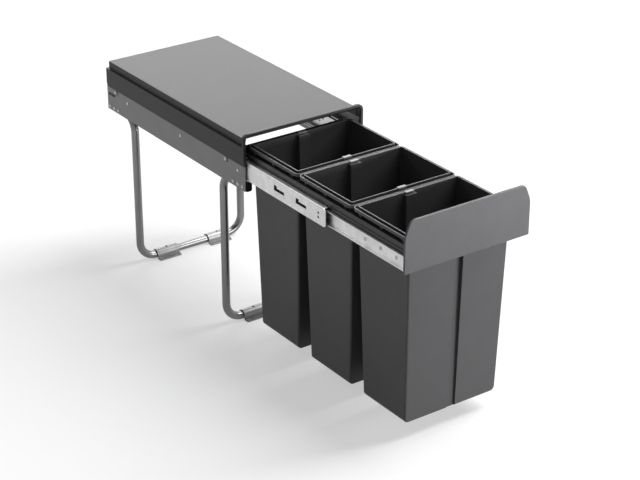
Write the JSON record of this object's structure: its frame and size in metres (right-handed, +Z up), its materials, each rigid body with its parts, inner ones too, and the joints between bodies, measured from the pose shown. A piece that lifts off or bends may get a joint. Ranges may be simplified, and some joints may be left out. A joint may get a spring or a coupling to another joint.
{
  "type": "pull-out waste bin",
  "caption": "Cabinet waste unit with a fixed cover on tube legs and lift-out bins in a carrier that pulls out on ball-bearing slides behind a plain front plate.",
  "frame": {"origin": "middle of the floor screw pattern, on the cabinet floor under the foot clamps", "axes": "+Z up, -Y the way the drawer pulls out, +X to the right seen from the front"},
  "size_m": [0.256, 0.933, 0.4184],
  "materials": {
    "cover_plastic": "fine-grained dark grey",
    "bin_plastic": "fine-grained charcoal",
    "panel_steel": "grey powder coat",
    "tube_steel": "silver-grey paint",
    "clamp_steel": "zinc plated",
    "slide_steel": "zinc plated, bright",
    "bright_steel": "zinc plated",
    "dark_steel": "blackened",
    "carrier_steel": "dark powder coat",
    "plate_steel": "grey powder coat",
    "cage_plastic": "black",
    "clip_plastic": "light grey",
    "ball_steel": "polished",
    "black_plastic": "black",
    "buffer_rubber": "black"
  },
  "bodies": {
    "frame": {"top_cover": "cover_plastic", "cover_clips": "panel_steel", "clip_latches": "black_plastic", "clip_rivets": "bright_steel", "front_leg_hoop": "tube_steel", "rear_leg_hoop": "tube_steel", "tube_end_plugs": "black_plastic", "leg_rivets": "bright_steel", "grub_screws": "dark_steel", "slide_rivets": "bright_steel", "slide_buffers": "buffer_rubber", "side_panel_left": "panel_steel", "foot_clamp_front_left": "clamp_steel", "foot_clamp_rear_left": "clamp_steel", "slide_outer_left": "slide_steel", "side_panel_right": "panel_steel", "foot_clamp_front_right": "clamp_steel", "foot_clamp_rear_right": "clamp_steel", "slide_outer_right": "slide_steel"},
    "drawer": {"lever_pins": "bright_steel", "carrier_front_bar": "carrier_steel", "carrier_rear_bar": "carrier_steel", "rail_rivets": "bright_steel", "bar_rivets": "dark_steel", "front_plate": "plate_steel", "plate_nuts": "bright_steel", "slide_inner_left": "slide_steel", "carrier_rail_left": "carrier_steel", "slide_inner_right": "slide_steel", "carrier_rail_right": "carrier_steel"},
    "middle_left": {"slide_middle_left": "slide_steel"},
    "outer_cage_left": {"outer_cage_left": "cage_plastic", "outer_balls_left": "ball_steel"},
    "inner_cage_left": {"inner_cage_left": "cage_plastic", "inner_balls_left": "ball_steel"},
    "lever_left": {"release_lever_left": "black_plastic"},
    "middle_right": {"slide_middle_right": "slide_steel"},
    "outer_cage_right": {"outer_cage_right": "cage_plastic", "outer_balls_right": "ball_steel"},
    "inner_cage_right": {"inner_cage_right": "cage_plastic", "inner_balls_right": "ball_steel"},
    "lever_right": {"release_lever_right": "black_plastic"},
    "bin_front": {"bin_front": "bin_plastic", "bag_clips_front": "clip_plastic"},
    "bin_middle": {"bin_middle": "bin_plastic", "bag_clips_middle": "clip_plastic"},
    "bin_rear": {"bin_rear": "bin_plastic", "bag_clips_rear": "clip_plastic"}
  },
  "joints": [
    {"name": "drawer_slide", "type": "slide", "parent": "frame", "child": "drawer", "axis": [0, -1, 0], "range_m": [-0.45, 0]},
    {"name": "middle_left_slide", "type": "slide", "parent": "frame", "child": "middle_left", "axis": [0, -1, 0], "range_m": [-0.2449, 0]},
    {"name": "outer_cage_left_slide", "type": "slide", "parent": "frame", "child": "outer_cage_left", "axis": [0, -1, 0], "range_m": [-0.1225, 0]},
    {"name": "inner_cage_left_slide", "type": "slide", "parent": "frame", "child": "inner_cage_left", "axis": [0, -1, 0], "range_m": [-0.3475, 0]},
    {"name": "lever_left_tilt", "type": "hinge", "parent": "drawer", "child": "lever_left", "pos_m": [-0.1145, -0.4375, 0.33735], "axis": [1, 0, 0], "range_deg": [0, 8], "stiffness_Nm_per_rad": 0.05},
    {"name": "middle_right_slide", "type": "slide", "parent": "frame", "child": "middle_right", "axis": [0, -1, 0], "range_m": [-0.2449, 0]},
    {"name": "outer_cage_right_slide", "type": "slide", "parent": "frame", "child": "outer_cage_right", "axis": [0, -1, 0], "range_m": [-0.1225, 0]},
    {"name": "inner_cage_right_slide", "type": "slide", "parent": "frame", "child": "inner_cage_right", "axis": [0, -1, 0], "range_m": [-0.3475, 0]},
    {"name": "lever_right_tilt", "type": "hinge", "parent": "drawer", "child": "lever_right", "pos_m": [0.1145, -0.4375, 0.33735], "axis": [1, 0, 0], "range_deg": [0, 8], "stiffness_Nm_per_rad": 0.05},
    {"name": "bin_front_lift", "type": "slide", "parent": "drawer", "child": "bin_front", "axis": [0, 0, 1], "range_m": [0, 0.36]},
    {"name": "bin_middle_lift", "type": "slide", "parent": "drawer", "child": "bin_middle", "axis": [0, 0, 1], "range_m": [0, 0.36]},
    {"name": "bin_rear_lift", "type": "slide", "parent": "drawer", "child": "bin_rear", "axis": [0, 0, 1], "range_m": [0, 0.012]}
  ],
  "couplings": [
    {"joint": "middle_left_slide", "follows": "drawer_slide", "ratio": 0.544},
    {"joint": "outer_cage_left_slide", "follows": "drawer_slide", "ratio": 0.272},
    {"joint": "inner_cage_left_slide", "follows": "drawer_slide", "ratio": 0.772},
    {"joint": "middle_right_slide", "follows": "drawer_slide", "ratio": 0.544},
    {"joint": "outer_cage_right_slide", "follows": "drawer_slide", "ratio": 0.272},
    {"joint": "inner_cage_right_slide", "follows": "drawer_slide", "ratio": 0.772}
  ]
}
